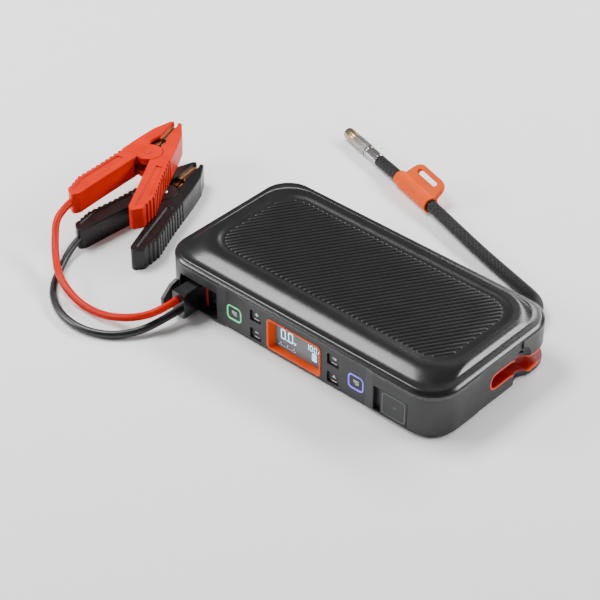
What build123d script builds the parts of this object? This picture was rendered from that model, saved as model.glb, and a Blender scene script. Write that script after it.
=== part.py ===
"""Jump starter pack with a built-in tyre compressor, its air hose and a plug-in set of clamp leads.

Millimetres. X runs along the case, the control side faces -Y, Z is up, and the origin is the middle
of the anti-slip pad that the case stands on.
"""

import os
from math import cos, pi, radians, sin, tan

from build123d import *

os.makedirs("parts", exist_ok=True)

# ---- Case ------------------------------------------------------------------------------------
body_length = 240.0
body_width = 125.0
body_corner = 22.0  # plan radius of the upright corners
pad_stand = 0.8  # the case floats this far above the ground on its pad
seam_height = 33.3
seam_gap = 0.4
rim_height = 2.8  # chamfered edge of the cover
plateau_height = 40.0
wall = 3.0
floor_wall = 2.0
cover_skin = 2.2
lip_height = 2.6
lip_wall = 1.4
fit_gap = 0.15  # clearance of pieces that drop into each other
bottom_edge = 1.4

# ---- Cover plateau and grip pad ----------------------------------------------------------------
plateau_half_length = 109.0
plateau_front = -42.0
plateau_back = 52.5
plateau_corner = 27.0
slope_front = 14.0
slope_back = 3.8
slope_side = 5.0
grip_margin = 10.0
grip_depth = 2.2
grip_thick = 1.6

# ---- Control side ------------------------------------------------------------------------------
panel_half = 61.5
panel_bevel = 6.5
panel_inset = 1.2
row_height = 15.2  # height of the middle of the controls
button_x = 53.5
button_width = 11.2
button_height = 9.8
ring_width = 0.9
button_travel = 0.8
key_x = 34.0
key_rise = 7.3
key_width = 10.0
key_height = 8.6
key_sink = 1.4
key_travel = 0.7
key_gap = 0.25
bezel_width = 47.4
bezel_height = 24.6
bezel_depth = 4.2
lens_width = 41.0
lens_height = 21.4

# ---- USB door ----------------------------------------------------------------------------------
door_left = 69.0
door_right = 97.0
door_bottom = 3.6
door_top = 22.6
door_scoop = 6.0
door_thick = 2.4
door_gap = 0.25
door_pocket = 3.0
door_pin_radius = 0.8
door_barrel_radius = 1.35
door_pin_gap = 0.06
usb_c_x = 81.0
usb_c_size = (9.0, 3.3)
usb_a_x = 90.0
usb_a_size = (5.7, 13.1)
usb_depth = 14.0

# ---- Output port and plug ----------------------------------------------------------------------
port_left = -103.0
port_right = -68.5
port_top = 25.0
port_depth = 7.0
plug_x = -89.6
plug_z = 13.4
plug_width = 10.8
plug_height = 19.5
plug_length = 21.2
plug_shoulder_gap = 1.0  # between the plug's shoulder and the back of the port
nose_width = 9.2
nose_height = 17.6
nose_length = 13.0
socket_clearance = 0.2
socket_wall = 2.4
socket_proud = 0.9  # the socket stands this far out of the back of the port
contact_pitch = 9.2
contact_radius = 2.6
flap_length = 16.5
flap_thick = 3.4

# ---- Hose channel ------------------------------------------------------------------------------
channel_depth = 12.0
channel_height = 13.3
channel_front = -6.5
channel_front_height = 16.0
channel_back_height = 10.25
dip_start = 15.0
dip_end = 33.0
liner_wall = 1.2
pocket_wall = 2.0
scoop_y = 25.6
scoop_radius = 11.0
scoop_depth = 4.0
scoop_top = 19.0
end_inset_front = -19.5
end_inset = 1.2

# ---- Hose and tyre-valve coupler -----------------------------------------------------------------
hose_diameter = 9.0
gland_x = 90.0
gland_radius = 5.2
ferrule_length = 15.0
ferrule_radius = 4.8
coupler_length = 17.0
coupler_radius = 4.9
collar_length = 13.0
collar_radius = 4.6
valve_thread_radius = 3.85
valve_thread_depth = 9.5
hose_points = [
    (gland_x, body_width / 2 + 1.3, channel_back_height),
    (gland_x, 81.5, 8.4),
    (80.5, 96.0, 5.4),
    (62.0, 102.5, 4.6),
    (18.0, 115.0, 5.0),
    (-36.0, 133.0, 6.1),
    (-88.5, 150.0, 6.1),
    (-112.2, 157.5, 5.0),
]
tab_start = 28.0  # distance of the pull tab from the ferrule, along the hose
tab_length = 42.0
tab_wall = 1.5
tab_reach = 18.8
tab_thick = 3.2
tab_tilt = 34.0
tab_corner = 8.0

# ---- Clamp leads --------------------------------------------------------------------------------
lead_diameter = 5.4
clamp_thick = 16.4
clamp_side = 2.4
clamp_layer_gap = 0.5
pivot_radius = 2.0
ear_radius = 10.0
red_pivot = (-216.9, 19.9)
red_turn = 18.0
black_pivot = (-190.0, 8.0)
black_turn = 10.0
black_clamp_base = 0.0
red_clamp_base = black_clamp_base + clamp_thick + clamp_layer_gap
plug_face = -body_width / 2 + port_depth - plug_shoulder_gap - plug_length
red_points = [
    (plug_x - 1.4, plug_face, 16.5),
    (-91.3, -90.5, 16.2),
    (-98.0, -100.5, 12.6),
    (-111.0, -107.5, 8.0),
    (-128.5, -111.5, 3.6),
    (-148.0, -112.5, 2.8),
    (-166.0, -110.0, 6.5),
    (-181.0, -104.0, 9.6),
    (-196.0, -92.5, 10.6),
    (-207.0, -82.5, 15.5),
    (-214.5, -74.0, 22.5),
    (-218.6, -61.0, 25.0),
    (-220.4, -52.5, 25.2),
]
black_points = [
    (plug_x - 1.4, plug_face, 7.3),
    (-91.8, -92.0, 6.8),
    (-97.5, -109.0, 4.0),
    (-110.0, -123.5, 2.8),
    (-129.0, -131.0, 2.8),
    (-149.0, -129.5, 2.8),
    (-167.0, -121.5, 2.8),
    (-180.5, -109.0, 2.8),
    (-189.5, -94.5, 2.8),
    (-197.0, -81.5, 3.8),
    (-201.0, -70.5, 6.4),
    (-202.8, -58.5, 8.2),
]

# ---- Fasteners and pad ---------------------------------------------------------------------------
screw_radius = 1.5
screw_head = 2.8
post_radius = 4.2
post_height = 17.0
boss_radius = 3.6
pad_length = 150.0
pad_width = 70.0
pad_corner = 12.0
pad_thick = 1.6

# ---- Compressor ---------------------------------------------------------------------------------
motor_radius = 12.0
motor_start = 14.0
motor_length = 34.0
motor_y = 23.0
pump_height = 17.5
gear_module = 0.6
pinion_teeth = 12
gear_teeth = 40
gear_width = 6.0
pinion_x = 53.5
crank_throw = 5.0
bore_radius = 10.0
cylinder_wall = 2.0

# ---- Derived places -----------------------------------------------------------------------------
panel_face = -body_width / 2 + panel_inset
wall_inside = -body_width / 2 + wall
inner_floor = pad_stand + floor_wall
rim_base = seam_height + seam_gap
rim_top = rim_base + rim_height
port_floor = inner_floor + 0.4
port_back = -body_width / 2 + port_depth
usb_height = (door_top + door_bottom) / 2
usb_ports = [(usb_c_x, usb_c_size, usb_c_size[1] / 2 - 0.05), (usb_a_x, usb_a_size, 0.5)]
socket_outer = (
    nose_width + 2 * socket_clearance + 2 * socket_wall,
    nose_height + 2 * socket_clearance + socket_wall,
)
door_pin_x = door_right - 1.7
door_pin_y = -body_width / 2 + 1.5
board_face = wall_inside + 5.7
bezel_back = panel_face + bezel_depth
grip_floor = plateau_height - grip_depth


def save(built, name):
    """Label a finished piece and write it."""
    built.part.label = name
    export_step(built.part, f"parts/{name}.step")


def plan_slab(low, high, inset):
    """A slab with the case's own plan outline, moved in by an inset."""
    with BuildPart() as slab:
        with BuildSketch(Plane.XY.offset(low)):
            RectangleRounded(
                body_length - 2 * inset,
                body_width - 2 * inset,
                max(body_corner - inset, 2.0),
            )
        extrude(amount=high - low)
    return slab.part


def front_block(middle, height, size, front, back, corner):
    """A block with rounded upright edges seen from the control side, from y=front to y=back."""
    with BuildPart() as block:
        with BuildSketch(Plane.XZ.offset(-front)):
            with Locations((middle, height)):
                RectangleRounded(size[0], size[1], corner)
        extrude(amount=front - back)
    return block.part


def box_between(low, high):
    """A plain box from its lowest to its highest corner."""
    size = [b - a for a, b in zip(low, high)]
    with BuildPart() as block:
        with Locations(tuple((a + b) / 2 for a, b in zip(low, high))):
            Box(*size)
    return block.part


def rod(start, end, radius):
    """A round rod between two points."""
    start, end = Vector(*start), Vector(*end)
    with BuildPart() as made:
        with BuildSketch(Plane(origin=start, z_dir=end - start)):
            Circle(radius)
        extrude(amount=(end - start).length)
    return made.part


def channel_zone(grow, outside):
    """The space of the hose channel round the two ends and the back, grown on all sides."""
    with BuildPart() as zone:
        with BuildSketch(Plane.YZ.offset(-body_length)) as side:
            with BuildLine():
                Polyline(
                    (channel_front, channel_front_height - channel_height / 2),
                    (dip_start, channel_front_height - channel_height / 2),
                    (dip_end, channel_back_height - channel_height / 2),
                    (body_width, channel_back_height - channel_height / 2),
                    (body_width, channel_back_height + channel_height / 2),
                    (dip_end, channel_back_height + channel_height / 2),
                    (dip_start, channel_front_height + channel_height / 2),
                    (channel_front, channel_front_height + channel_height / 2),
                    close=True,
                )
            make_face()
            tip = side.vertices().group_by(Axis.X)[0]
            fillet(tip, channel_height / 2 - 0.6)
            if grow:
                offset(amount=grow)
        extrude(amount=2 * body_length)
        add(band(channel_depth + grow, outside), mode=Mode.INTERSECT)
    return zone.part


def band(depth, outside):
    """An upright ring that follows the case's outline, from `outside` beyond it to `depth` within."""
    with BuildPart() as ring:
        add(plan_slab(0, plateau_height, -outside))
        add(plan_slab(0, plateau_height, depth), mode=Mode.SUBTRACT)
    return ring.part


def end_scoop(side):
    """A finger scoop in an end wall: an upright groove with a round top."""
    x = side * (body_length / 2 + scoop_radius - scoop_depth)
    with BuildPart() as scoop:
        add(rod((x, scoop_y, -1.0), (x, scoop_y, scoop_top), scoop_radius))
        with Locations((x, scoop_y, scoop_top)):
            Sphere(scoop_radius)
    return scoop.part


def key_place(column, row):
    """Middle of one of the four small keys."""
    return column * key_x, row_height + row * key_rise


screw_places = [
    (body_length / 2 - 12.6, -(body_width / 2 - 15.0)),
    (-(body_length / 2 - 12.0), -(body_width / 2 - 18.6)),
    (70.0, 41.5),
    (-96.0, 41.5),
    (12.0, 43.0),
    (12.0, -(body_width / 2 - 16.0)),
]


# ---- Bottom shell: tray, pockets and posts ---------------------------------------------------------
with BuildPart() as bottom_shell:
    add(plan_slab(pad_stand, seam_height, 0))
    chamfer(bottom_shell.faces().sort_by(Axis.Z)[0].edges(), bottom_edge)
    add(plan_slab(inner_floor, seam_height + 1, wall), mode=Mode.SUBTRACT)
    add(channel_zone(pocket_wall, 0))
    add(
        box_between(
            (port_left - pocket_wall, wall_inside - 1, inner_floor - 1),
            (port_right + pocket_wall, port_back + pocket_wall, port_top + pocket_wall),
        )
    )
    add(
        box_between(
            (door_left - 2.0, wall_inside - 1, inner_floor - 1),
            (door_right + 2.0, wall_inside + 3, door_top + 2.0),
        )
    )
    with BuildSketch(Plane.XY.offset(inner_floor)):
        with Locations(*screw_places):
            Circle(post_radius)
    extrude(amount=post_height)
    # everything above stays inside the outline
    add(plan_slab(pad_stand, seam_height, 0), mode=Mode.INTERSECT)

    # sunk control panel between two bevels
    with BuildSketch(Plane.XY):
        with BuildLine():
            Polyline(
                (-panel_half - panel_bevel, -body_width / 2),
                (-panel_half, panel_face),
                (panel_half, panel_face),
                (panel_half + panel_bevel, -body_width / 2),
                (panel_half + panel_bevel, -body_width / 2 - 2),
                (-panel_half - panel_bevel, -body_width / 2 - 2),
                close=True,
            )
        make_face()
    extrude(amount=seam_height + 1, mode=Mode.SUBTRACT)

    # sunk fields and finger scoops on both ends
    for side in (-1, 1):
        x = side * (body_length / 2 - end_inset / 2 + 1)
        add(
            box_between(
                (x - end_inset / 2 - 1, end_inset_front, -1),
                (x + end_inset / 2 + 1, scoop_y, seam_height + 1),
            ),
            mode=Mode.SUBTRACT,
        )
        add(end_scoop(side), mode=Mode.SUBTRACT)

    add(channel_zone(0, 5), mode=Mode.SUBTRACT)
    add(
        box_between(
            (port_left, -body_width, port_floor),
            (port_right, port_back, port_top),
        ),
        mode=Mode.SUBTRACT,
    )

    # windows for the buttons, the keys and the display
    for side in (-1, 1):
        size = (button_width + 2 * ring_width + 0.4, button_height + 2 * ring_width + 0.4)
        window = front_block(
            side * button_x, row_height, size, -body_width, wall_inside + 1, 3.4
        )
        add(window, mode=Mode.SUBTRACT)
    for column in (-1, 1):
        for row in (-1, 1):
            x, z = key_place(column, row)
            window = front_block(
                x, z, (key_width, key_height), -body_width, wall_inside + 1, 1.0
            )
            add(window, mode=Mode.SUBTRACT)
    window = front_block(
        0, row_height, (bezel_width, bezel_height), -body_width, wall_inside + 1, 3.0
    )
    add(window, mode=Mode.SUBTRACT)

    # pocket of the USB door, with a finger scoop beside the door and the two port windows
    door_middle = (door_left + door_right) / 2
    door_size = (door_right - door_left, door_top - door_bottom)
    pocket = front_block(
        door_middle,
        (door_top + door_bottom) / 2,
        door_size,
        -body_width,
        -body_width / 2 + door_pocket,
        0.4,
    )
    add(pocket, mode=Mode.SUBTRACT)
    scoop_x = door_left + door_scoop / 2
    add(
        rod(
            (scoop_x, -body_width / 2 + 0.6, door_bottom + 1.5),
            (scoop_x, -body_width / 2 + 0.6, door_top - 1.5),
            door_scoop / 2 - 0.7,
        ),
        mode=Mode.SUBTRACT,
    )
    for x, size, corner in usb_ports:
        add(
            front_block(x, usb_height, size, -body_width, wall_inside + 5, corner),
            mode=Mode.SUBTRACT,
        )
    add(
        rod(
            (door_pin_x, door_pin_y, door_bottom - 1.2),
            (door_pin_x, door_pin_y, door_top + 1.2),
            door_pin_radius,
        ),
        mode=Mode.SUBTRACT,
    )

    # way in for the socket, the gland, the pad and the screws
    add(
        box_between(
            (plug_x - socket_outer[0] / 2, port_back - 1, plug_z - socket_outer[1] / 2),
            (plug_x + socket_outer[0] / 2, port_back + 5, plug_z + socket_outer[1] / 2),
        ),
        mode=Mode.SUBTRACT,
    )
    add(
        rod(
            (gland_x, body_width / 2 - channel_depth - 5, channel_back_height),
            (gland_x, body_width / 2, channel_back_height),
            3.0,
        ),
        mode=Mode.SUBTRACT,
    )
    with BuildSketch(Plane.XY):
        RectangleRounded(pad_length, pad_width, pad_corner)
    extrude(amount=pad_thick, mode=Mode.SUBTRACT)
    with BuildSketch(Plane.XY):
        with Locations(*screw_places):
            Circle(screw_radius + 0.2)
    extrude(amount=seam_height, mode=Mode.SUBTRACT)
    with BuildSketch(Plane.XY):
        with Locations(*screw_places):
            Circle(screw_head + 0.2)
    extrude(amount=inner_floor + 2.5, mode=Mode.SUBTRACT)
save(bottom_shell, "bottom_shell")

# ---- Cover, grip pad, base pad and screws ---------------------------------------------------------
def plateau_face(height, length, front, back, corner):
    """One level of the raised plateau."""
    with BuildSketch(Plane.XY.offset(height)) as level:
        with Locations((0, (front + back) / 2)):
            RectangleRounded(2 * length, back - front, corner)
    return level.sketch


grip_length = plateau_half_length - grip_margin
grip_front = plateau_front + grip_margin - 2.5
grip_back = plateau_back - grip_margin + 0.5
grip_corner = plateau_corner - grip_margin + 2.0

with BuildPart() as top_cover:
    add(plan_slab(rim_base, rim_top, 0))
    chamfer(top_cover.faces().sort_by(Axis.Z)[-1].edges(), rim_height - 0.3)
    with BuildPart(mode=Mode.PRIVATE) as plateau:
        add(
            plateau_face(
                rim_top - 0.01,
                plateau_half_length + slope_side,
                plateau_front - slope_front,
                plateau_back + slope_back,
                plateau_corner - 5.0,
            )
        )
        add(
            plateau_face(
                plateau_height,
                plateau_half_length,
                plateau_front,
                plateau_back,
                plateau_corner,
            )
        )
        loft()
    add(plateau.part)
    add(plan_slab(rim_base - 1, rim_top - cover_skin, wall + 1), mode=Mode.SUBTRACT)
    with BuildSketch(Plane.XY.offset(rim_top - cover_skin - 1)):
        with Locations((0, (grip_front + grip_back) / 2)):
            RectangleRounded(2 * grip_length - 4, grip_back - grip_front - 4, grip_corner)
    extrude(amount=grip_floor - rim_top + 1, mode=Mode.SUBTRACT)
    # locating lip inside the tray
    with BuildPart(mode=Mode.PRIVATE) as lip:
        add(plan_slab(seam_height - lip_height, rim_base + 1, wall + fit_gap))
        add(
            plan_slab(seam_height - lip_height, rim_base + 1, wall + fit_gap + lip_wall),
            mode=Mode.SUBTRACT,
        )
    add(lip.part)
    with BuildSketch(Plane.XY.offset(inner_floor + post_height)):
        with Locations(*screw_places):
            Circle(boss_radius)
    extrude(amount=rim_top - cover_skin + 0.5 - inner_floor - post_height)
    with BuildSketch(Plane.XY.offset(inner_floor + post_height)):
        with Locations(*screw_places):
            Circle(screw_radius)
    extrude(amount=9.5, mode=Mode.SUBTRACT)
    with BuildSketch(Plane.XY.offset(grip_floor)):
        with Locations((0, (grip_front + grip_back) / 2)):
            RectangleRounded(2 * grip_length, grip_back - grip_front, grip_corner)
    extrude(amount=grip_depth + 1, mode=Mode.SUBTRACT)
save(top_cover, "top_cover")

with BuildPart() as grip_pad:
    with BuildSketch(Plane.XY.offset(grip_floor)):
        with Locations((0, (grip_front + grip_back) / 2)):
            RectangleRounded(
                2 * (grip_length - fit_gap),
                grip_back - grip_front - 2 * fit_gap,
                grip_corner - fit_gap,
            )
    extrude(amount=grip_thick)
save(grip_pad, "grip_pad")

with BuildPart() as base_pad:
    with BuildSketch():
        RectangleRounded(
            pad_length - 2 * fit_gap, pad_width - 2 * fit_gap, pad_corner - fit_gap
        )
    extrude(amount=pad_thick)
save(base_pad, "base_pad")

with BuildPart() as case_screws:
    head_top = inner_floor + 2.5
    with BuildSketch(Plane.XY.offset(head_top - 2.2)):
        with Locations(*screw_places):
            Circle(screw_head)
    extrude(amount=2.2)
    with BuildSketch(Plane.XY.offset(head_top - 2.2)):
        with Locations(*screw_places):
            Circle(screw_radius)
    extrude(amount=2.2 + inner_floor + post_height + 8.0 - head_top)
    with BuildSketch(Plane.XY.offset(head_top - 2.2)):
        with Locations(*screw_places):
            Rectangle(3.2, 0.8)
            Rectangle(0.8, 3.2)
    extrude(amount=1.1, mode=Mode.SUBTRACT)
save(case_screws, "case_screws")


# ---- Display, keyboard and controls -----------------------------------------------------------------
with BuildPart() as display_bezel:
    size = (bezel_width - 0.2, bezel_height - 0.2)
    add(front_block(0, row_height, size, panel_face - 0.4, bezel_back, 2.9))
    size = (bezel_width + 4.6, bezel_height - 0.2)
    add(front_block(0, row_height, size, wall_inside, bezel_back, 1.0))
    with BuildPart(mode=Mode.PRIVATE) as funnel:
        with BuildSketch(Plane.XZ.offset(-panel_face + 0.4)):
            with Locations((0, row_height)):
                RectangleRounded(bezel_width - 2.8, bezel_height - 2.4, 2.2)
        with BuildSketch(Plane.XZ.offset(-bezel_back)):
            with Locations((0, row_height)):
                RectangleRounded(lens_width - 0.8, lens_height - 0.8, 1.2)
        loft()
    add(funnel.part, mode=Mode.SUBTRACT)
save(display_bezel, "display_bezel")

with BuildPart() as display_lens:
    lens_size = (lens_width, lens_height)
    add(front_block(0, row_height, lens_size, bezel_back, bezel_back + 1.0, 0.8))
save(display_lens, "display_lens")

with BuildPart() as display_module:
    add(front_block(0, row_height, lens_size, bezel_back + 1.05, board_face, 0.5))
save(display_module, "display_module")

with BuildPart() as key_board:
    add(
        box_between(
            (-panel_half + 1.0, board_face, inner_floor),
            (panel_half - 1.0, board_face + 1.2, inner_floor + 25.0),
        )
    )
    for corner in ((-58.0, 26.0), (58.0, 26.0), (-58.0, 4.6), (58.0, 4.6)):
        with Locations(Plane.XZ.offset(-board_face - 1.2)):
            with Locations(corner):
                Hole(0.9, depth=4)
save(key_board, "key_board")


def ring_size(grow):
    """Outer size of a lit ring, grown by a margin."""
    return button_width + 2 * ring_width + grow, button_height + 2 * ring_width + grow


def light_ring(x):
    """The lit frame round a large button, with its flange behind the wall."""
    with BuildPart() as ring:
        front = panel_face - 0.2
        back = wall_inside + 0.7
        add(front_block(x, row_height, ring_size(0), front, back, 3.2))
        add(front_block(x, row_height, ring_size(2.0), wall_inside, back, 2.0))
        hole = (button_width, button_height)
        add(front_block(x, row_height, hole, front - 1, back + 1, 2.2), mode=Mode.SUBTRACT)
    return ring


def large_button(x):
    """A large button: its cap, the flange that holds it in and the stem to its switch."""
    with BuildPart() as button:
        cap = (button_width - 2 * key_gap, button_height - 2 * key_gap)
        add(front_block(x, row_height, cap, panel_face + 0.3, wall_inside + 1.6, 2.0))
        flange = (button_width + 1.6, button_height + 1.6)
        add(
            front_block(
                x, row_height, flange, wall_inside + 0.9, wall_inside + 1.8, 1.6
            )
        )
        stem_end = board_face - button_travel - 0.15
        add(rod((x, wall_inside + 1.5, row_height), (x, stem_end, row_height), 2.0))
    return button


def small_key(x, z):
    """A small key, sunk in its window."""
    with BuildPart() as key:
        cap = (key_width - 2 * key_gap, key_height - 2 * key_gap)
        add(front_block(x, z, cap, panel_face + key_sink, wall_inside + 1.0, 0.8))
        flange = (key_width + 1.2, key_height + 1.2)
        add(front_block(x, z, flange, wall_inside + 0.2, wall_inside + 1.2, 0.8))
        add(rod((x, wall_inside + 1.0, z), (x, board_face - key_travel - 0.15, z), 1.6))
    return key


power_ring = light_ring(-button_x)
save(power_ring, "power_ring")
mode_ring = light_ring(button_x)
save(mode_ring, "mode_ring")
power_button = large_button(-button_x)
save(power_button, "power_button")
mode_button = large_button(button_x)
save(mode_button, "mode_button")
plus_key = small_key(*key_place(-1, 1))
save(plus_key, "plus_key")
minus_key = small_key(*key_place(-1, -1))
save(minus_key, "minus_key")
unit_key = small_key(*key_place(1, 1))
save(unit_key, "unit_key")
lamp_key = small_key(*key_place(1, -1))
save(lamp_key, "lamp_key")


# ---- USB door and sockets -----------------------------------------------------------------------------
door_face = -body_width / 2 + 0.1
with BuildPart() as usb_door:
    door_low = door_left + door_scoop
    add(
        box_between(
            (door_low, door_face, door_bottom + door_gap),
            (door_pin_x, door_face + door_thick, door_top - door_gap),
        )
    )
    add(
        rod(
            (door_pin_x, door_pin_y, door_bottom + door_gap),
            (door_pin_x, door_pin_y, door_top - door_gap),
            door_barrel_radius,
        )
    )
    add(
        rod(
            (door_pin_x, door_pin_y, door_bottom - 1),
            (door_pin_x, door_pin_y, door_top + 1),
            door_pin_radius + door_pin_gap,
        ),
        mode=Mode.SUBTRACT,
    )
save(usb_door, "usb_door")

with BuildPart() as usb_door_pin:
    add(
        rod(
            (door_pin_x, door_pin_y, door_bottom - 1.0),
            (door_pin_x, door_pin_y, door_top + 1.0),
            door_pin_radius,
        )
    )
save(usb_door_pin, "usb_door_pin")

usb_front = -body_width / 2 + door_pocket + 0.1
usb_back = usb_front + usb_depth
usb_skin = 0.35


def usb_shell(x, size, corner):
    """The metal shell of a USB socket, open to the front."""
    with BuildPart() as shell:
        add(front_block(x, usb_height, size, usb_front, usb_back, corner))
        inner = (size[0] - 2 * usb_skin, size[1] - 2 * usb_skin)
        inner_corner = max(corner - usb_skin, 0.1)
        hollow = front_block(x, usb_height, inner, usb_front - 1, usb_back - 4, inner_corner)
        add(hollow, mode=Mode.SUBTRACT)
    return shell


usb_c_socket = usb_shell(*usb_ports[0])
with usb_c_socket:
    add(front_block(usb_c_x, usb_height, (6.6, 0.7), usb_front + 1, usb_back - 3, 0.2))
save(usb_c_socket, "usb_c_socket")

usb_a_socket = usb_shell(*usb_ports[1])
with usb_a_socket:
    tongue = (1.8, 11.0)
    add(front_block(usb_a_x + 1.2, usb_height, tongue, usb_front + 1, usb_back - 3, 0.2))
save(usb_a_socket, "usb_a_socket")


# ---- Output port: liner, socket, contacts, cover and the plug in it ---------------------------------
port_liner_wall = 0.8
nose_hole = (nose_width + 2 * socket_clearance, nose_height + 2 * socket_clearance)
with BuildPart() as port_liner:
    add(
        box_between(
            (port_left, port_back - port_liner_wall, port_floor),
            (port_right, port_back, port_top),
        )
    )
    add(
        box_between(
            (port_left, -body_width / 2 - 0.2, port_floor),
            (port_left + port_liner_wall, port_back, port_top - 3.0),
        )
    )
    hole = front_block(plug_x, plug_z, socket_outer, port_back - 2, port_back + 1, 0.8)
    add(hole, mode=Mode.SUBTRACT)
save(port_liner, "port_liner")

socket_back = port_back + nose_length + 3.0
with BuildPart() as output_socket:
    add(front_block(plug_x, plug_z, socket_outer, port_back - socket_proud, socket_back, 0.8))
    hole = front_block(plug_x, plug_z, nose_hole, port_back - 2, socket_back - 2.0, 0.8)
    add(hole, mode=Mode.SUBTRACT)
    for side in (-1, 1):
        z = plug_z + side * contact_pitch / 2
        add(
            rod((plug_x, port_back, z), (plug_x, socket_back + 1, z), 1.3),
            mode=Mode.SUBTRACT,
        )
save(output_socket, "output_socket")

with BuildPart() as socket_pins:
    for side in (-1, 1):
        z = plug_z + side * contact_pitch / 2
        add(rod((plug_x, port_back + 3.0, z), (plug_x, socket_back + 5, z), 1.3))
save(socket_pins, "socket_pins")

flap_x = port_left - 0.4
flap_y = -body_width / 2 - 0.4
with BuildPart() as port_cover:
    with BuildSketch(Plane.YZ.offset(flap_x - flap_thick / 2 + 0.4)):
        with BuildLine():
            Polyline(
                (flap_y - 1.2, port_floor + 0.4),
                (flap_y - flap_length, port_floor + 0.4),
                (flap_y - flap_length, port_floor + 9.5),
                (flap_y - flap_length / 2, port_top - 5.0),
                (flap_y - 1.2, port_top - 3.2),
                close=True,
            )
        make_face()
    extrude(amount=flap_thick - 0.8)
    fillet(port_cover.edges().filter_by(Axis.X), 1.6)
    add(
        rod((flap_x, flap_y, port_floor + 2.0), (flap_x, flap_y, port_top - 5.0), 0.35)
    )
    add(
        box_between(
            (flap_x - 0.35, flap_y - 2.0, port_floor + 2.0),
            (flap_x + 0.35, flap_y, port_top - 5.0),
        )
    )
save(port_cover, "port_cover")

plug_back = plug_face + plug_length
with BuildPart() as plug_body:
    add(front_block(plug_x, plug_z, (plug_width, plug_height), plug_face, plug_back, 0.9))
    nose = (nose_width, nose_height)
    add(front_block(plug_x, plug_z, nose, plug_back - 1, plug_back + nose_length, 0.7))
    for side in (-1, 1):
        z = plug_z + side * contact_pitch / 2
        end = plug_back + nose_length + 1
        add(
            rod((plug_x, plug_back - 4, z), (plug_x, end, z), contact_radius),
            mode=Mode.SUBTRACT,
        )
save(plug_body, "plug_body")

with BuildPart() as plug_contacts:
    for side in (-1, 1):
        z = plug_z + side * contact_pitch / 2
        end = plug_back + nose_length - 1
        add(rod((plug_x, plug_back - 4, z), (plug_x, end, z), contact_radius))
        add(
            rod((plug_x, plug_back + 2, z), (plug_x, end + 1, z), 1.3 + 0.25),
            mode=Mode.SUBTRACT,
        )
save(plug_contacts, "plug_contacts")


# ---- Hose channel liner, gland, hose and coupler ---------------------------------------------------
back_wall = body_width / 2 - channel_depth
with BuildPart() as hose_channel:
    add(channel_zone(0, -0.3))
    add(channel_zone(-liner_wall, 5), mode=Mode.SUBTRACT)
    for side in (-1, 1):
        add(end_scoop(side), mode=Mode.SUBTRACT)
        add(
            box_between(
                (side * body_length / 2 - end_inset, end_inset_front, 0),
                (side * body_length / 2 + end_inset, scoop_y, seam_height),
            ),
            mode=Mode.SUBTRACT,
        )
    add(
        rod(
            (gland_x, back_wall - 5, channel_back_height),
            (gland_x, back_wall + 5, channel_back_height),
            3.0,
        ),
        mode=Mode.SUBTRACT,
    )
save(hose_channel, "hose_channel")

gland_start = back_wall + liner_wall
gland_end = hose_points[0][1]
with BuildPart() as hose_gland:
    with BuildSketch(Plane.XY.offset(channel_back_height)):
        with BuildLine():
            Polyline(
                (gland_x + 1.4, back_wall - 8.0),
                (gland_x + 3.0, back_wall - 8.0),
                (gland_x + 3.0, gland_start),
                (gland_x + gland_radius, gland_start),
                (gland_x + gland_radius, gland_start + 2.0),
                (gland_x + gland_radius - 0.3, gland_start + 2.4),
                (gland_x + hose_diameter / 2 + 0.2, gland_end),
                (gland_x + 1.4, gland_end),
                close=True,
            )
        make_face()
    revolve(axis=Axis((gland_x, 0, channel_back_height), (0, 1, 0)))
save(hose_gland, "hose_gland")


def corner_radii(points):
    """Radius of each arc of a cord: as large as the two runs beside it allow."""
    places = [Vector(*point) for point in points]
    radii = []
    for before, here, after in zip(places, places[1:], places[2:]):
        run = min((here - before).length, (after - here).length)
        turn = (here - before).get_angle(after - here)
        radii.append(0.45 * run / tan(radians(turn / 2)))
    return radii


def cord_tube(points, diameter, name):
    """The plain tube of a cord along its route, with its radii and volume printed."""
    radii = corner_radii(points)
    with BuildPart() as tube:
        with BuildLine() as route:
            FilletPolyline(*points, radius=radii)
        path = route.wire()
        with BuildSketch(Plane(origin=path @ 0, z_dir=path % 0)):
            Circle(diameter / 2)
        sweep(path=path)
    section = pi * diameter**2 / 4
    shares = [round(radius / diameter, 1) for radius in radii]
    print(name, "length", round(path.length, 1), "radii in diameters", shares)
    print(name, "volume", round(tube.part.volume), "expected", round(section * path.length))
    return tube


air_hose = cord_tube(hose_points, hose_diameter, "air_hose")
save(air_hose, "air_hose")

hose_end = Vector(*hose_points[-1])
hose_way = (hose_end - Vector(*hose_points[-2])).normalized()
fitting_way = Vector(hose_way.X, hose_way.Y, 0).normalized()


def along_fitting(distance):
    """A plane across the fitting, at a distance past the hose's end."""
    return Plane(origin=hose_end + fitting_way * distance, z_dir=fitting_way)


def fitting_ring(start, length, outer, inner):
    """A round piece of the fitting with a straight bore."""
    with BuildPart() as ring:
        with BuildSketch(along_fitting(start)):
            Circle(outer)
            Circle(inner, mode=Mode.SUBTRACT)
        extrude(amount=length)
    return ring


air_way = 1.6
hose_ferrule = fitting_ring(0, ferrule_length, ferrule_radius, air_way)
chamfer(hose_ferrule.edges().filter_by(GeomType.CIRCLE).sort_by(SortBy.RADIUS)[-2:], 0.4)
save(hose_ferrule, "hose_ferrule")

coupler_start = ferrule_length
spigot_radius = collar_radius - 1.6
spigot_length = 3.3
with BuildPart() as coupler_body:
    add(fitting_ring(coupler_start, coupler_length, coupler_radius, air_way).part)
    spigot = fitting_ring(
        coupler_start + coupler_length, spigot_length, spigot_radius, air_way
    )
    add(spigot.part)
save(coupler_body, "coupler_body")

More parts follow.
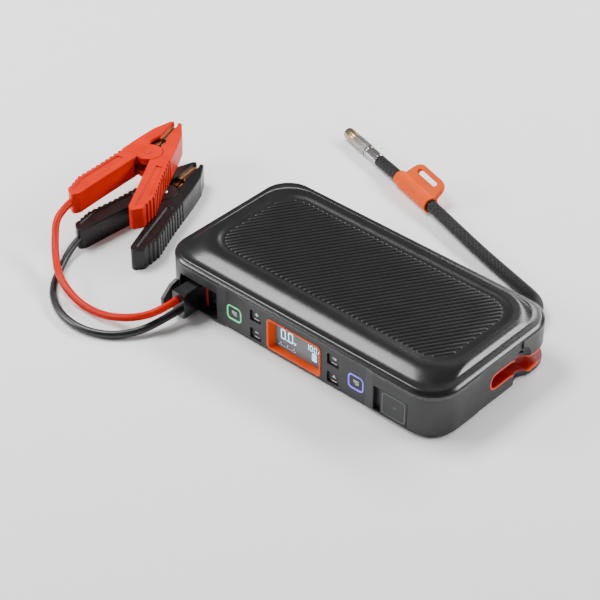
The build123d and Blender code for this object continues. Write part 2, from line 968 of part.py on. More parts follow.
collar_start = coupler_start + coupler_length + 0.15
thread_start = collar_start + collar_length - valve_thread_depth
with BuildPart() as coupler_collar:
    add(fitting_ring(collar_start, collar_length, collar_radius, spigot_radius + 0.06).part)
    with BuildSketch(along_fitting(thread_start)):
        Circle(valve_thread_radius)
    extrude(amount=valve_thread_depth, mode=Mode.SUBTRACT)
save(coupler_collar, "coupler_collar")

tab_axis = (Vector(*hose_points[-2]) - Vector(*hose_points[-3])).normalized()
tab_first = hose_end - tab_axis * (tab_start + tab_length)
tab_origin = Vector(tab_first.X, tab_first.Y, hose_points[-2][2])
tab_side = Vector(-tab_axis.Y, tab_axis.X, 0) * -1
tab_up = tab_side * cos(radians(tab_tilt)) + Vector(0, 0, sin(radians(tab_tilt)))
tab_across = Plane(origin=tab_origin, x_dir=tab_up, z_dir=tab_axis)
tab_flat = Plane(origin=tab_origin, x_dir=tab_axis, z_dir=tab_axis.cross(tab_up))
sleeve_radius = hose_diameter / 2 + tab_wall
with BuildPart() as pull_tab:
    with BuildSketch(tab_across):
        Circle(sleeve_radius)
    extrude(amount=tab_length)
    with BuildSketch(tab_flat.offset(-tab_thick / 2)) as leaf:
        with BuildLine():
            Polyline(
                (0, 0),
                (tab_length, 0),
                (tab_length - 5.0, tab_reach),
                (3.0, tab_reach),
                close=True,
            )
        make_face()
        fillet(leaf.vertices().group_by(Axis.Y)[-1], tab_corner)
    extrude(amount=tab_thick)
    with BuildSketch(tab_flat.offset(-tab_thick)):
        with Locations((tab_length / 2, tab_reach - 5.6)):
            SlotOverall(24.0, 3.8)
    extrude(amount=2 * tab_thick, mode=Mode.SUBTRACT)
    with BuildSketch(tab_across.offset(-1)):
        Circle(hose_diameter / 2 + 0.1)
    extrude(amount=tab_length + 2, mode=Mode.SUBTRACT)
save(pull_tab, "pull_tab")


# ---- Battery, boards and straps --------------------------------------------------------------------
cell_size = (100.0, 42.0, 6.2)
cell_low = (-94.0, body_width / 2 - 69.5, inner_floor + 1.6)
with BuildPart() as battery_cells:
    for level in range(4):
        low = (cell_low[0], cell_low[1], cell_low[2] + level * (cell_size[2] + 0.3))
        add(box_between(low, tuple(a + b for a, b in zip(low, cell_size))))
    fillet(battery_cells.edges().filter_by(Axis.Z), 2.0)
save(battery_cells, "battery_cells")

with BuildPart() as battery_cradle:
    low = tuple(value - 1.6 for value in cell_low)
    high = (cell_low[0] + cell_size[0] + 1.6, cell_low[1] + cell_size[1] + 1.6, 14.0)
    add(box_between(low, high))
    add(
        box_between(
            (cell_low[0] - 0.2, cell_low[1] - 0.2, cell_low[2]),
            (high[0] - 1.4, high[1] - 1.4, high[2] + 1),
        ),
        mode=Mode.SUBTRACT,
    )
save(battery_cradle, "battery_cradle")

with BuildPart() as main_board:
    board_low = inner_floor + 3.0
    board_front = -body_width / 2 + 14.5
    board_back = cell_low[1] - 2.0
    add(box_between((-76.0, board_front, board_low), (4.0, board_back, board_low + 1.6)))
    for x in (-66.0, -50.0, -34.0):
        low = (x, board_front + 6.0, board_low + 1.6)
        add(box_between(low, (x + 11.0, board_back - 4.0, board_low + 13.0)))
    for x in (-16.0, -4.0):
        y = (board_front + board_back) / 2
        add(rod((x, y, board_low + 1.6), (x, y, board_low + 15.0), 4.0))
    for x in (-72.0, 0.0):
        for y in (board_front + 3.5, board_back - 3.5):
            add(rod((x, y, inner_floor), (x, y, board_low), 2.0))
save(main_board, "main_board")


# ---- Compressor ---------------------------------------------------------------------------------------
gear_reach = gear_module * (pinion_teeth + gear_teeth) / 2
gear_y = motor_y - gear_reach
frame_x = motor_start + motor_length
tooth_share = 0.36
addendum = 0.7 * gear_module
dedendum = 1.1 * gear_module


def gear_wheel(teeth, x, y, width, half_step):
    """A spur gear with its axis along X and teeth as straight-sided blocks."""
    pitch_radius = gear_module * teeth / 2
    half_thick = tooth_share * pi * gear_module / 2
    turn = half_step * 180 / teeth
    with BuildPart() as wheel:
        with BuildSketch(Plane.YZ.offset(x)):
            with Locations((y, pump_height)):
                Circle(pitch_radius - dedendum)
                with PolarLocations(pitch_radius, teeth, start_angle=turn):
                    Polygon(
                        (-dedendum - 0.2, -half_thick * 1.5),
                        (addendum, -half_thick * 0.55),
                        (addendum, half_thick * 0.55),
                        (-dedendum - 0.2, half_thick * 1.5),
                        align=None,
                    )
        extrude(amount=width)
    return wheel


with BuildPart() as pump_motor:
    add(
        rod(
            (motor_start, motor_y, pump_height),
            (frame_x, motor_y, pump_height),
            motor_radius,
        )
    )
    chamfer(pump_motor.edges().filter_by(GeomType.CIRCLE), 1.0)
    add(
        rod(
            (motor_start - 3.0, motor_y, pump_height),
            (frame_x, motor_y, pump_height),
            3.6,
        )
    )
save(pump_motor, "pump_motor")

frame_thick = 3.0
with BuildPart() as pump_frame:
    add(box_between((frame_x, -38.0, inner_floor), (frame_x + 34.0, 37.0, inner_floor + 1.5)))
    add(box_between((frame_x, -8.0, inner_floor), (frame_x + frame_thick, 37.0, 31.0)))
    add(
        rod(
            (frame_x - 1, motor_y, pump_height),
            (frame_x + frame_thick + 1, motor_y, pump_height),
            4.6,
        ),
        mode=Mode.SUBTRACT,
    )
    add(
        rod(
            (frame_x, gear_y, pump_height),
            (pinion_x + gear_width + 0.6, gear_y, pump_height),
            2.0,
        )
    )
    saddle = cylinder_wall + bore_radius
    add(box_between((frame_x + 8.0, -25.5, inner_floor), (frame_x + 26.0, -12.0, 11.0)))
    cylinder_x = pinion_x + gear_width + 6.5
    add(
        rod((cylinder_x, -40.0, pump_height), (cylinder_x, 0.0, pump_height), saddle),
        mode=Mode.SUBTRACT,
    )
save(pump_frame, "pump_frame")

motor_pinion = gear_wheel(pinion_teeth, pinion_x, motor_y, gear_width, 1)
with motor_pinion:
    add(
        rod(
            (frame_x + 0.2, motor_y, pump_height),
            (pinion_x + 0.1, motor_y, pump_height),
            1.4,
        )
    )
save(motor_pinion, "motor_pinion")

crank_gear = gear_wheel(gear_teeth, pinion_x, gear_y, gear_width, 0)
with crank_gear:
    add(
        rod(
            (pinion_x - 1, gear_y, pump_height),
            (pinion_x + gear_width + 1, gear_y, pump_height),
            2.06,
        ),
        mode=Mode.SUBTRACT,
    )
    add(
        rod(
            (pinion_x + gear_width, gear_y + crank_throw, pump_height),
            (pinion_x + gear_width + 2.0, gear_y + crank_throw, pump_height),
            1.8,
        )
    )
save(crank_gear, "crank_gear")

piston_crown = -14.0  # at the open end of the stroke
piston_length = 5.0
yoke_y = gear_y + crank_throw
yoke_half = 4.2
with BuildPart() as pump_piston:
    add(
        rod(
            (cylinder_x, piston_crown, pump_height),
            (cylinder_x, piston_crown + piston_length, pump_height),
            bore_radius - 0.06,
        )
    )
    add(
        box_between(
            (cylinder_x - 2.0, piston_crown + piston_length - 1, pump_height - 3.0),
            (cylinder_x + 2.0, yoke_y - yoke_half + 1, pump_height + 3.0),
        )
    )
    # slotted yoke; the crank pin ends just short of it
    add(
        box_between(
            (cylinder_x - 4.0, yoke_y - yoke_half, pump_height - 9.0),
            (cylinder_x + 2.0, yoke_y + yoke_half, pump_height + 9.0),
        )
    )
    with BuildSketch(Plane.YZ.offset(cylinder_x - 5.0)):
        with Locations((yoke_y, pump_height)):
            SlotOverall(2 * crank_throw + 4.0, 4.0, rotation=90)
    extrude(amount=8.0, mode=Mode.SUBTRACT)
save(pump_piston, "pump_piston")

cylinder_front = piston_crown - 2 * crank_throw - 2.0
cylinder_back = piston_crown + piston_length - 2.0
with BuildPart() as pump_cylinder:
    add(
        rod(
            (cylinder_x, cylinder_front, pump_height),
            (cylinder_x, cylinder_back, pump_height),
            bore_radius + cylinder_wall,
        )
    )
    add(
        rod(
            (cylinder_x, cylinder_front - 1, pump_height),
            (cylinder_x, cylinder_back + 1, pump_height),
            bore_radius,
        ),
        mode=Mode.SUBTRACT,
    )
save(pump_cylinder, "pump_cylinder")

with BuildPart() as cylinder_head:
    add(
        front_block(
            cylinder_x,
            pump_height,
            (25.0, 25.0),
            cylinder_front - 8.0,
            cylinder_front,
            4.0,
        )
    )
    outlet_y = cylinder_front - 4.0
    add(
        rod(
            (cylinder_x, outlet_y, pump_height + 6.0),
            (cylinder_x + 17.0, outlet_y, pump_height + 6.0),
            2.6,
        )
    )
save(cylinder_head, "cylinder_head")

tube_start = (cylinder_x + 17.0, outlet_y, pump_height + 6.0)
tube_end = (gland_x, back_wall - 8.0, channel_back_height)
air_tube_points = [
    tube_start,
    (tube_start[0] + 11.0, outlet_y, pump_height + 6.0),
    (98.5, -8.0, 22.0),
    (98.0, 18.0, 12.5),
    (gland_x, 30.0, channel_back_height),
    tube_end,
]
air_tube = cord_tube(air_tube_points, 5.0, "air_tube")
save(air_tube, "air_tube")


# ---- Leads and clamps ---------------------------------------------------------------------------------
red_lead = cord_tube(red_points, lead_diameter, "red_lead")
save(red_lead, "red_lead")
black_lead = cord_tube(black_points, lead_diameter, "black_lead")
save(black_lead, "black_lead")

half_outline = [
    (0.9, 44.5),
    (4.6, 43.6),
    (11.8, 29.5),
    (16.4, 12.0),
    (19.8, -4.5),
    (24.5, -26.0),
    (31.0, -50.0),
    (30.0, -66.5),
    (23.4, -72.5),
    (19.6, -68.0),
    (14.6, -46.0),
    (6.0, -11.5),
    (3.0, 4.0),
    (6.0, 14.0),
    (3.0, 24.0),
    (2.6, 40.0),
]
handle_wall = 3.2
ear_step = 0.3
ear_room = 0.5  # round the ears, for the half that turns past them
hollow_start = -12.0
handle_round = 2.6
field_outline = [(13.0, -14.0), (18.6, -14.0), (27.6, -50.0), (27.0, -64.0), (23.6, -67.0)]
field_depth = 0.8
notch_start = -6.0
notch_pitch = 4.6
notch_count = 13
notch_radius = 1.1
jaw_low = 22.5
jaw_high = 42.5


def half_face(plane, side, shift):
    """Outline of one clamp half, moved towards the middle by `shift`."""
    with BuildSketch(plane) as face:
        with BuildLine():
            Polyline(*[(side * (x - shift), y) for x, y in half_outline], close=True)
        make_face()
    return face.sketch


def edge_x(y):
    """Outer edge of a clamp half at a height of its outline."""
    outer = half_outline[1:8]
    for (x0, y0), (x1, y1) in zip(outer, outer[1:]):
        if y1 <= y <= y0:
            return x0 + (x1 - x0) * (y0 - y) / (y0 - y1)
    return outer[-1][0]


def clamp_half(plane, side, outer_ears):
    """One half of a clamp: solid handle, hollow jaw and the pivot ears."""
    ear_height = 0.0 if outer_ears else clamp_side + ear_step
    with BuildPart() as half:
        add(half_face(plane, side, 0))
        extrude(amount=clamp_thick)
        upright = half.edges().filter_by(lambda e: abs(e.tangent_at(0).Z) > 0.99)
        lowest = upright.sort_by(lambda e: plane.to_local_coords(e.center()).Y)
        fillet(lowest[:3], handle_round)
        fillet(lowest[4:], 1.0)
        # hollow between the two side plates, from the pivot to the jaw's tip
        with BuildSketch(plane.offset(clamp_side)):
            add(half_face(Plane.XY, side, handle_wall))
            with Locations((0, hollow_start + half_outline[0][1])):
                Rectangle(body_width, 2 * half_outline[0][1], mode=Mode.INTERSECT)
        extrude(amount=clamp_thick - 2 * clamp_side, mode=Mode.SUBTRACT)
        for low in (ear_height, clamp_thick - ear_height - clamp_side):
            with BuildSketch(plane.offset(low)):
                Circle(ear_radius)
                if not outer_ears:
                    with Locations((side * ear_radius * 0.75, 0)):
                        Rectangle(ear_radius * 1.5, ear_radius * 1.5)
            extrude(amount=clamp_side)
        if not outer_ears:
            for low in (0.0, clamp_thick - clamp_side - ear_step):
                with BuildSketch(plane.offset(low)):
                    Circle(ear_radius + ear_room)
                extrude(amount=clamp_side + ear_step, mode=Mode.SUBTRACT)
        # the middle stays clear for the other half's ears and the spring
        with BuildSketch(plane.offset(ear_height + clamp_side)):
            Circle(ear_radius + ear_room)
        extrude(amount=clamp_thick - 2 * (ear_height + clamp_side), mode=Mode.SUBTRACT)
        with BuildSketch(plane):
            Circle(pivot_radius if outer_ears else pivot_radius + 0.08)
        extrude(amount=clamp_thick, mode=Mode.SUBTRACT)
        # sunk field on the handle's two faces and grip notches along its back
        for low in (0.0, clamp_thick - field_depth):
            with BuildSketch(plane.offset(low)) as field:
                with BuildLine():
                    Polyline(*[(side * x, y) for x, y in field_outline], close=True)
                make_face()
                fillet(field.vertices(), 1.2)
            extrude(amount=field_depth, mode=Mode.SUBTRACT)
        for step in range(notch_count):
            y = notch_start - notch_pitch * step
            with BuildSketch(plane):
                with Locations((side * edge_x(y), y)):
                    Circle(notch_radius)
            extrude(amount=clamp_thick, mode=Mode.SUBTRACT)
    return half


def clamp_jaw(plane, side):
    """The toothed copper strip of one jaw, with its square contact block."""
    with BuildPart() as jaw:
        height = clamp_thick - 2 * clamp_side
        with BuildSketch(plane.offset(clamp_side)):
            with BuildLine():
                Polyline(
                    (side * 4.0, jaw_low),
                    (side * 4.0, jaw_high - 3.0),
                    (side * 1.2, jaw_high - 1.0),
                    (side * 1.2, jaw_low),
                    close=True,
                )
            make_face()
            for step in range(9):
                with Locations((side * 0.8, jaw_low + 1.4 + 2.0 * step)):
                    Rectangle(1.0, 1.0, rotation=45)
        extrude(amount=height)
        with BuildSketch(plane.offset(clamp_side + 2.0)):
            with Locations((side * 3.2, 18.8)):
                Rectangle(5.0, 5.0)
            with Locations((side * 2.6, 21.8)):
                Rectangle(2.4, 3.0)
        extrude(amount=height - 4.0)
    return jaw


def clamp_pin(plane):
    """The rivet that the two halves turn on."""
    with BuildPart() as pin:
        with BuildSketch(plane):
            Circle(pivot_radius)
        extrude(amount=clamp_thick)
    return pin


def clamp_spring(plane):
    """The coil of the closing spring, round the rivet."""
    low = 2 * clamp_side + ear_step + 0.3
    with BuildPart() as spring:
        with BuildSketch(plane.offset(low)):
            Circle(pivot_radius + 2.2)
            Circle(pivot_radius, mode=Mode.SUBTRACT)
        extrude(amount=clamp_thick - 2 * low)
    return spring


def make_clamp(colour, pivot, turn, base, side):
    """Write the six pieces of one clamp; `side` is the side of the half that holds the lead."""
    plane = Plane(
        origin=(pivot[0], pivot[1], base),
        x_dir=(cos(radians(turn)), sin(radians(turn)), 0),
        z_dir=(0, 0, 1),
    )
    save(clamp_half(plane, side, True), f"{colour}_clamp_handle")
    save(clamp_half(plane, -side, False), f"{colour}_clamp_lever")
    save(clamp_jaw(plane, side), f"{colour}_handle_jaw")
    save(clamp_jaw(plane, -side), f"{colour}_lever_jaw")
    save(clamp_pin(plane), f"{colour}_clamp_pin")
    save(clamp_spring(plane), f"{colour}_clamp_spring")


make_clamp("red", red_pivot, red_turn, red_clamp_base, -1)
make_clamp("black", black_pivot, black_turn, black_clamp_base, -1)
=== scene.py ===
"""Looks of the jump starter pack: camera, light, materials and the fine pieces over the CAD model.

Lengths in the lists below are in millimetres, as in the part's own source, and MM turns them into
metres. The control side faces -Y and Z is up.
"""

import bmesh
import bpy
from math import cos, hypot, pi, radians, sin, sqrt

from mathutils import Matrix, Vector


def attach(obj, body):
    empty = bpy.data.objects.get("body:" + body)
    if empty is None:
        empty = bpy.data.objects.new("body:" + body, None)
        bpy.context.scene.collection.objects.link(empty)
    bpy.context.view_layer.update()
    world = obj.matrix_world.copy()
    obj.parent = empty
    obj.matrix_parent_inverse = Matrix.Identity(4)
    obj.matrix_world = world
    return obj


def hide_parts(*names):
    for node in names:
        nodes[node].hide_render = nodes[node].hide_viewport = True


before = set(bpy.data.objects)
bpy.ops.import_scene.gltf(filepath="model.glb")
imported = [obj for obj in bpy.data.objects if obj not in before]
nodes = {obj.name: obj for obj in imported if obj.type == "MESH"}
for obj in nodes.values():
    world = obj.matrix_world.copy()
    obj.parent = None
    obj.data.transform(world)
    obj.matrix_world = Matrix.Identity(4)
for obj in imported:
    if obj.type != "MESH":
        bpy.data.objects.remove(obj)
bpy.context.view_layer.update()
MM = 0.001
hose_diameter = 9.0
lead_diameter = 5.4

# ---- Camera and light --------------------------------------------------------------------------
camera_data = bpy.data.cameras.new("camera")
camera_data.lens = 116.7
camera_data.sensor_width = 36.0
camera_data.clip_start = 0.05
camera = bpy.data.objects.new("camera", camera_data)
camera.location = (0.66772, -0.78928, 0.80401)
camera.rotation_euler = (radians(52.793), 0.0, radians(42.285))
bpy.context.collection.objects.link(camera)
bpy.context.scene.camera = camera


def soft_light(name, place, target, size, power, colour=(1.0, 1.0, 1.0)):
    """A rectangular softbox at a place, aimed at a target."""
    data = bpy.data.lights.new(name, "AREA")
    data.shape = "RECTANGLE"
    data.size, data.size_y = size
    data.energy = power
    data.color = colour
    lamp = bpy.data.objects.new(name, data)
    lamp.location = place
    way = Vector(target) - Vector(place)
    lamp.rotation_euler = way.to_track_quat("-Z", "Y").to_euler()
    bpy.context.collection.objects.link(lamp)


soft_light("back", (0.1, 1.3, 0.9), (0, 0, 0.02), (1.6, 0.3), 22.0)
soft_light("front", (-1.3, -1.0, 0.75), (0, 0, 0.02), (0.7, 0.45), 22.0)
soft_light("right", (1.0, 1.0, 0.8), (0, 0, 0.02), (0.55, 0.3), 14.0)
soft_light("top", (-0.8, -0.05, 1.3), (0, 0, 0), (0.75, 0.55), 24.0)

world = bpy.data.worlds.new("studio")
bpy.context.scene.world = world
world.use_nodes = True
world.node_tree.nodes["Background"].inputs["Color"].default_value = (1.0, 1.0, 1.0, 1.0)
world.node_tree.nodes["Background"].inputs["Strength"].default_value = 0.28


# ---- Materials -----------------------------------------------------------------------------------
def new_material(name):
    """A new material, with its node tree and its shader."""
    material = bpy.data.materials.new(name)
    material.use_nodes = True
    tree = material.node_tree
    shader = tree.nodes["Principled BSDF"]
    return material, tree, shader


def mixed(tree, factor, first, second):
    """A colour between two others, by a factor socket."""
    mix = tree.nodes.new("ShaderNodeMix")
    mix.data_type = "RGBA"
    mix.inputs["A"].default_value = (*first, 1.0)
    mix.inputs["B"].default_value = (*second, 1.0)
    tree.links.new(factor, mix.inputs["Factor"])
    return mix.outputs["Result"]


def ramp(tree, factor, low, high, from_low=0.35, from_high=0.65):
    """A number that runs from low to high as the factor runs between two limits."""
    node = tree.nodes.new("ShaderNodeMapRange")
    node.inputs["From Min"].default_value = from_low
    node.inputs["From Max"].default_value = from_high
    node.inputs["To Min"].default_value = low
    node.inputs["To Max"].default_value = high
    tree.links.new(factor, node.inputs["Value"])
    return node.outputs["Result"]


def noise(tree, scale, detail=4.0):
    """Cloudy noise in object space; scale counts its lumps per metre."""
    place = tree.nodes.new("ShaderNodeTexCoord")
    node = tree.nodes.new("ShaderNodeTexNoise")
    node.inputs["Scale"].default_value = scale
    node.inputs["Detail"].default_value = detail
    tree.links.new(place.outputs["Object"], node.inputs["Vector"])
    return node.outputs["Fac"]


def relief(tree, shader, height, distance, strength=1.0, edge=0.0):
    """Bumps on the surface from a height socket, over edges that look softened by a radius."""
    bump = tree.nodes.new("ShaderNodeBump")
    bump.inputs["Strength"].default_value = strength
    bump.inputs["Distance"].default_value = distance
    tree.links.new(height, bump.inputs["Height"])
    if edge:
        soft = tree.nodes.new("ShaderNodeBevel")
        soft.samples = 6
        soft.inputs["Radius"].default_value = edge
        tree.links.new(soft.outputs["Normal"], bump.inputs["Normal"])
    tree.links.new(bump.outputs["Normal"], shader.inputs["Normal"])


def surface(
    name,
    colour,
    worn,
    rough,
    grain=2500.0,
    depth=0.00002,
    metal=0.0,
    coat=0.0,
    spread=0.03,
    shine=0.5,
    edge=0.0,
):
    """A moulded or turned surface: cloudy colour, uneven gloss and fine grain."""
    material, tree, shader = new_material(name)
    cloud = noise(tree, 60.0)
    tree.links.new(mixed(tree, ramp(tree, cloud, 0.0, 1.0), colour, worn), shader.inputs["Base Color"])
    tree.links.new(
        ramp(tree, noise(tree, 140.0), rough - spread, rough + spread), shader.inputs["Roughness"]
    )
    shader.inputs["Metallic"].default_value = metal
    shader.inputs["Coat Weight"].default_value = coat
    shader.inputs["Specular IOR Level"].default_value = shine
    relief(tree, shader, noise(tree, grain, 2.0), depth, edge=edge)
    return material


def glowing(name, colour, strength):
    """A lit surface that is brighter in the middle of its lumps."""
    material, tree, shader = new_material(name)
    cloud = noise(tree, 300.0)
    tint = mixed(tree, ramp(tree, cloud, 0.0, 1.0), colour, tuple(0.8 * c for c in colour))
    tree.links.new(tint, shader.inputs["Base Color"])
    tree.links.new(tint, shader.inputs["Emission Color"])
    shader.inputs["Emission Strength"].default_value = strength
    shader.inputs["Roughness"].default_value = 0.35
    return material


def speckled_case(name, colour, speck_low, speck_high):
    """Housing plastic with a band of fine pale specks between two heights."""
    material, tree, shader = new_material(name)
    place = tree.nodes.new("ShaderNodeTexCoord")
    parts = tree.nodes.new("ShaderNodeSeparateXYZ")
    tree.links.new(place.outputs["Object"], parts.inputs["Vector"])
    speck = noise(tree, 3800.0, 1.0)
    dots = ramp(tree, speck, 0.0, 1.0, 0.56, 0.66)
    rise = ramp(tree, parts.outputs["Z"], 0.0, 1.0, speck_low, speck_high)
    both = tree.nodes.new("ShaderNodeMath")
    both.operation = "MULTIPLY"
    tree.links.new(dots, both.inputs[0])
    tree.links.new(rise, both.inputs[1])
    tree.links.new(
        mixed(tree, both.outputs["Value"], colour, tuple(5.0 * c + 0.1 for c in colour)),
        shader.inputs["Base Color"],
    )
    tree.links.new(ramp(tree, noise(tree, 120.0), 0.36, 0.46), shader.inputs["Roughness"])
    relief(tree, shader, noise(tree, 5200.0, 2.0), 0.00002, 0.8)
    return material


def liner_painted_shade(name, lip, inside, reach):
    """Liner that goes from the lip's colour to a darker one with its depth in the case: painted shade in
    the channel.
    """
    material, tree, shader = new_material(name)
    place = tree.nodes.new("ShaderNodeTexCoord")
    parts = tree.nodes.new("ShaderNodeSeparateXYZ")
    tree.links.new(place.outputs["Object"], parts.inputs["Vector"])
    size = tree.nodes.new("ShaderNodeMath")
    size.operation = "ABSOLUTE"
    tree.links.new(parts.outputs["X"], size.inputs[0])
    depths = []
    for socket, face in ((size.outputs["Value"], 0.12), (parts.outputs["Y"], 0.0625)):
        depth = tree.nodes.new("ShaderNodeMath")
        depth.operation = "SUBTRACT"
        depth.inputs[0].default_value = face
        tree.links.new(socket, depth.inputs[1])
        depths.append(depth.outputs["Value"])
    least = tree.nodes.new("ShaderNodeMath")
    least.operation = "MINIMUM"
    tree.links.new(depths[0], least.inputs[0])
    tree.links.new(depths[1], least.inputs[1])
    # painted shade: the darker colour's share grows with depth into the channel
    share = ramp(tree, least.outputs["Value"], 0.0, 1.0, 0.0008, reach)
    tree.links.new(mixed(tree, share, lip, inside), shader.inputs["Base Color"])
    tree.links.new(ramp(tree, noise(tree, 140.0), 0.3, 0.42), shader.inputs["Roughness"])
    relief(tree, shader, noise(tree, 2500.0, 2.0), 0.00002)
    return material


def braided(name, colour, pale, turns, along):
    """Woven sleeve of a hose: two crossing sets of strands, from the curve's own UV."""
    material, tree, shader = new_material(name)
    place = tree.nodes.new("ShaderNodeTexCoord")
    heights = []
    for lean in (-1, 1):
        move = tree.nodes.new("ShaderNodeMapping")
        move.inputs["Scale"].default_value = (along, turns * lean, 1.0)
        tree.links.new(place.outputs["UV"], move.inputs["Vector"])
        wave = tree.nodes.new("ShaderNodeTexWave")
        wave.bands_direction = "DIAGONAL"
        wave.inputs["Scale"].default_value = 1.0
        tree.links.new(move.outputs["Vector"], wave.inputs["Vector"])
        heights.append(wave.outputs["Fac"])
    high = tree.nodes.new("ShaderNodeMath")
    high.operation = "MAXIMUM"
    tree.links.new(heights[0], high.inputs[0])
    tree.links.new(heights[1], high.inputs[1])
    tree.links.new(
        mixed(tree, ramp(tree, high.outputs["Value"], 0.0, 1.0, 0.5, 1.0), colour, pale),
        shader.inputs["Base Color"],
    )
    tree.links.new(ramp(tree, noise(tree, 900.0), 0.38, 0.52), shader.inputs["Roughness"])
    shader.inputs["Specular IOR Level"].default_value = 0.2
    relief(tree, shader, high.outputs["Value"], 0.0003)
    return material


housing = speckled_case("housing", (0.018, 0.0185, 0.02), 0.0306, 0.0312)
cover_black = surface(
    "cover_black",
    (0.004, 0.004, 0.0045),
    (0.006, 0.006, 0.0065),
    0.26,
    3500.0,
    0.000005,
    spread=0.01,
)
rib_rubber = surface(
    "rib_rubber", (0.004, 0.004, 0.0045), (0.006, 0.006, 0.0065), 0.36, spread=0.02, shine=0.4
)
pad_rubber = surface("pad_rubber", (0.02, 0.02, 0.021), (0.032, 0.032, 0.032), 0.7, 900.0, 0.0001)
orange_gloss = surface(
    "orange_gloss", (0.85, 0.08, 0.0), (0.76, 0.066, 0.0), 0.32, shine=0.25, edge=0.0008
)
key_satin = surface("key_satin", (0.009, 0.0095, 0.01), (0.014, 0.0145, 0.015), 0.34)
black_gloss = surface("black_gloss", (0.008, 0.008, 0.009), (0.014, 0.014, 0.015), 0.2, coat=0.3)
grey_rubber = surface("grey_rubber", (0.035, 0.037, 0.04), (0.05, 0.052, 0.056), 0.5, 1800.0)
red_plastic = surface(
    "red_plastic", (0.66, 0.016, 0.0), (0.56, 0.012, 0.0), 0.38, shine=0.12, edge=0.0014
)
red_cable = surface("red_cable", (0.56, 0.008, 0.0), (0.48, 0.006, 0.0), 0.38, 1500.0, shine=0.14)
black_cable = surface("black_cable", (0.005, 0.005, 0.006), (0.009, 0.009, 0.01), 0.34, 1500.0)
charcoal = surface(
    "charcoal", (0.003, 0.003, 0.0035), (0.006, 0.006, 0.0065), 0.3, shine=0.35, edge=0.0014
)
tab_orange = surface(
    "tab_orange", (0.74, 0.085, 0.0), (0.66, 0.07, 0.0), 0.5, 1800.0, shine=0.14, edge=0.0008
)
steel = surface("steel", (0.52, 0.52, 0.53), (0.42, 0.42, 0.43), 0.3, 4000.0, metal=1.0)
silver = surface("silver", (0.42, 0.39, 0.36), (0.34, 0.32, 0.3), 0.34, 4000.0, metal=1.0)
champagne = surface("champagne", (0.44, 0.33, 0.2), (0.34, 0.25, 0.15), 0.24, 4000.0, metal=1.0)
copper = surface("copper", (0.78, 0.4, 0.22), (0.62, 0.3, 0.16), 0.34, 3000.0, metal=1.0)
gold = surface("gold", (0.85, 0.62, 0.28), (0.7, 0.5, 0.2), 0.28, 3000.0, metal=1.0)
board_green = surface("board_green", (0.01, 0.09, 0.04), (0.015, 0.13, 0.06), 0.4, 1200.0)
foil = surface("foil", (0.6, 0.61, 0.62), (0.5, 0.51, 0.52), 0.38, 500.0, 0.0001, metal=0.8)
braid = braided("braid", (0.002, 0.002, 0.002), (0.012, 0.012, 0.0125), 6.0, 42.0)
screen_grey = surface(
    "screen_grey", (0.12, 0.125, 0.14), (0.16, 0.165, 0.18), 0.16, 3000.0, 0.00001
)
# the hose channel's liner darkens with depth: painted shade
liner_red = liner_painted_shade("liner_red", (0.9, 0.07, 0.0), (0.24, 0.002, 0.0), 0.0024)
power_glow = glowing("power_glow", (0.1, 0.7, 0.26), 0.8)
mode_glow = glowing("mode_glow", (0.2, 0.14, 0.9), 1.0)
digit_glow = glowing("digit_glow", (0.35, 0.85, 1.0), 3.0)
faint_glow = glowing("faint_glow", (0.4, 0.75, 0.9), 1.0)
# pale print on the keys and buttons, made to glow a little: painted light, also used for the painted
# highlight under each key
glyph_painted_glow = glowing("glyph_painted_glow", (0.75, 0.78, 0.8), 0.35)

chrome = surface(
    "chrome", (0.6, 0.58, 0.57), (0.52, 0.5, 0.49), 0.14, 4000.0, metal=1.0, spread=0.03
)
grey_edge = surface("grey_edge", (0.1, 0.105, 0.11), (0.14, 0.145, 0.15), 0.4)
socket_red = surface("socket_red", (0.5, 0.02, 0.01), (0.4, 0.015, 0.008), 0.35)

finishes = {
    housing: ["bottom_shell", "usb_door"],
    cover_black: ["top_cover"],
    rib_rubber: ["grip_pad"],
    pad_rubber: ["base_pad"],
    orange_gloss: ["display_bezel"],
    liner_red: ["hose_channel"],
    key_satin: [
        "power_button",
        "mode_button",
        "plus_key",
        "minus_key",
        "unit_key",
        "lamp_key",
    ],
    socket_red: ["output_socket"],
    black_gloss: [
        "port_liner",
        "plug_body",
        "battery_cradle",
        "pump_frame",
        "crank_gear",
        "pump_piston",
    ],
    grey_rubber: ["port_cover"],
    red_plastic: ["red_clamp_handle", "red_clamp_lever"],
    charcoal: ["black_clamp_handle", "black_clamp_lever"],
    steel: [
        "case_screws",
        "usb_door_pin",
        "usb_c_socket",
        "usb_a_socket",
        "red_clamp_pin",
        "black_clamp_pin",
        "red_clamp_spring",
        "black_clamp_spring",
        "pump_motor",
        "motor_pinion",
        "hose_ferrule",
    ],
    silver: ["hose_gland", "coupler_body", "pump_cylinder", "cylinder_head"],
    champagne: ["coupler_collar"],
    copper: ["red_handle_jaw", "red_lever_jaw", "black_handle_jaw", "black_lever_jaw"],
    gold: ["socket_pins", "plug_contacts"],
    board_green: ["display_module", "key_board", "main_board"],
    foil: ["battery_cells"],
    tab_orange: ["pull_tab"],
    black_cable: ["air_tube"],
    screen_grey: ["display_lens"],
    power_glow: ["power_ring"],
    mode_glow: ["mode_ring"],
}
for material, names in finishes.items():
    for name in names:
        mesh = nodes[name].data
        mesh.materials.clear()
        mesh.materials.append(material)


# ---- Making pieces -------------------------------------------------------------------------------
def piece(name, mesh, material, body):
    """A new visual piece on a body, with its material."""
    made = bpy.data.objects.new(name, mesh)
    bpy.context.collection.objects.link(made)
    if material is not None:
        mesh.materials.append(material)
    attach(made, body)
    return made


